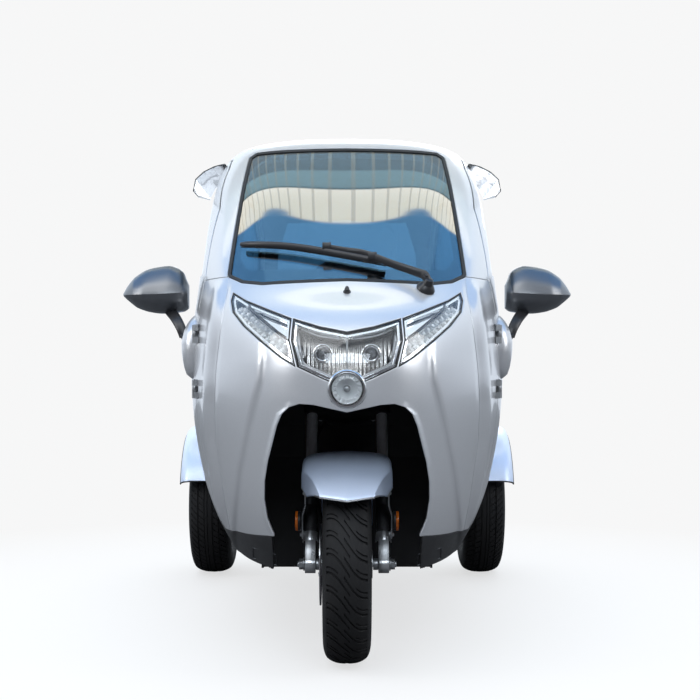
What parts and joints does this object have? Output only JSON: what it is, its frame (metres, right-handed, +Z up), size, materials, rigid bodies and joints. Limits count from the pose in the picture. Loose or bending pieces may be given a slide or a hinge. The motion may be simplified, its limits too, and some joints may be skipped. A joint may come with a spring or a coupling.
{
  "type": "enclosed electric tricycle",
  "caption": "Enclosed three-wheeled electric runabout: silver cabin with curved windscreen, one steered front wheel on a fork, two rear wheels, two doors and a boot lid.",
  "frame": {"origin": "on the ground under the middle of the vehicle's overall box", "axes": "+Z up, the front faces -Y, +X is the vehicle's left"},
  "size_m": [1.301, 2.22, 1.473],
  "materials": {
    "silver_paint": "satin metallic",
    "fender_paint": "satin metallic",
    "frame_paint": "satin",
    "black_plastic": "textured",
    "cabin_plastic": "grained",
    "satin_black": "satin",
    "cast_black": "painted",
    "rubber_seal": "matt",
    "tyre_rubber": "matt",
    "tinted_glass": "clear tint",
    "clear_lens": "clear",
    "red_lens": "clear red",
    "lamp_chrome": "bright",
    "fork_alloy": "satin",
    "rim_alloy": "satin",
    "disc_steel": "brushed",
    "steel": "brushed",
    "seat_cover": "grained"
  },
  "bodies": {
    "root": {"chassis_frame": "frame_paint", "floor_pan": "black_plastic", "front_cowl": "silver_paint", "front_wings": "silver_paint", "cab_frame": "silver_paint", "roof_panel": "silver_paint", "rear_body": "silver_paint", "lower_skirt": "black_plastic", "arch_liner": "black_plastic", "windscreen": "tinted_glass", "windscreen_seal": "rubber_seal", "rear_glazing": "tinted_glass", "dashboard": "cabin_plastic", "seat_bases": "cabin_plastic", "battery_pack": "frame_paint", "driver_seat": "seat_cover", "bench_seat": "seat_cover", "boot_tub": "cabin_plastic", "lamp_trays": "lamp_chrome", "headlamp_lens": "clear_lens", "nose_lamp": "clear_lens", "tail_lamps": "red_lens", "rear_fenders": "fender_paint", "rear_axle": "frame_paint", "wiper": "satin_black", "body_hinges": "steel"},
    "steering": {"fork": "fork_alloy", "front_fender": "fender_paint", "handlebar": "satin_black", "instrument_pod": "satin_black", "brake_caliper": "cast_black"},
    "front_wheel": {"front_tyre": "tyre_rubber", "front_rim": "rim_alloy", "brake_disc": "disc_steel"},
    "rear_wheel_left": {"rear_tyre_left": "tyre_rubber", "rear_rim_left": "rim_alloy"},
    "rear_wheel_right": {"rear_tyre_right": "tyre_rubber", "rear_rim_right": "rim_alloy"},
    "left_door": {"door_left": "silver_paint", "door_glass_left": "tinted_glass", "mirror_left": "satin_black"},
    "right_door": {"door_right": "silver_paint", "door_glass_right": "tinted_glass", "mirror_right": "satin_black"},
    "rear_lid": {"boot_lid": "silver_paint"}
  },
  "joints": [
    {"name": "steering_turn", "type": "hinge", "parent": "root", "child": "steering", "pos_m": [0, -0.77854, 0.23266], "axis": [0, 0.4384, 0.8988], "range_deg": [-25, 25]},
    {"name": "front_wheel_spin", "type": "hinge", "parent": "steering", "child": "front_wheel", "pos_m": [0, -0.81, 0.248], "axis": [1, 0, 0], "continuous": true},
    {"name": "rear_left_spin", "type": "hinge", "parent": "root", "child": "rear_wheel_left", "pos_m": [0.485, 0.69, 0.25], "axis": [1, 0, 0], "continuous": true},
    {"name": "rear_right_spin", "type": "hinge", "parent": "root", "child": "rear_wheel_right", "pos_m": [-0.485, 0.69, 0.25], "axis": [1, 0, 0], "continuous": true},
    {"name": "left_door_swing", "type": "hinge", "parent": "root", "child": "left_door", "pos_m": [0.416, -0.56, 0.765], "axis": [0, 0, -1], "range_deg": [0, 65]},
    {"name": "right_door_swing", "type": "hinge", "parent": "root", "child": "right_door", "pos_m": [-0.416, -0.56, 0.765], "axis": [0, 0, 1], "range_deg": [0, 65]},
    {"name": "rear_lid_swing", "type": "hinge", "parent": "root", "child": "rear_lid", "pos_m": [0, 1.096, 0.939], "axis": [1, 0, 0], "range_deg": [0, 75]}
  ]
}
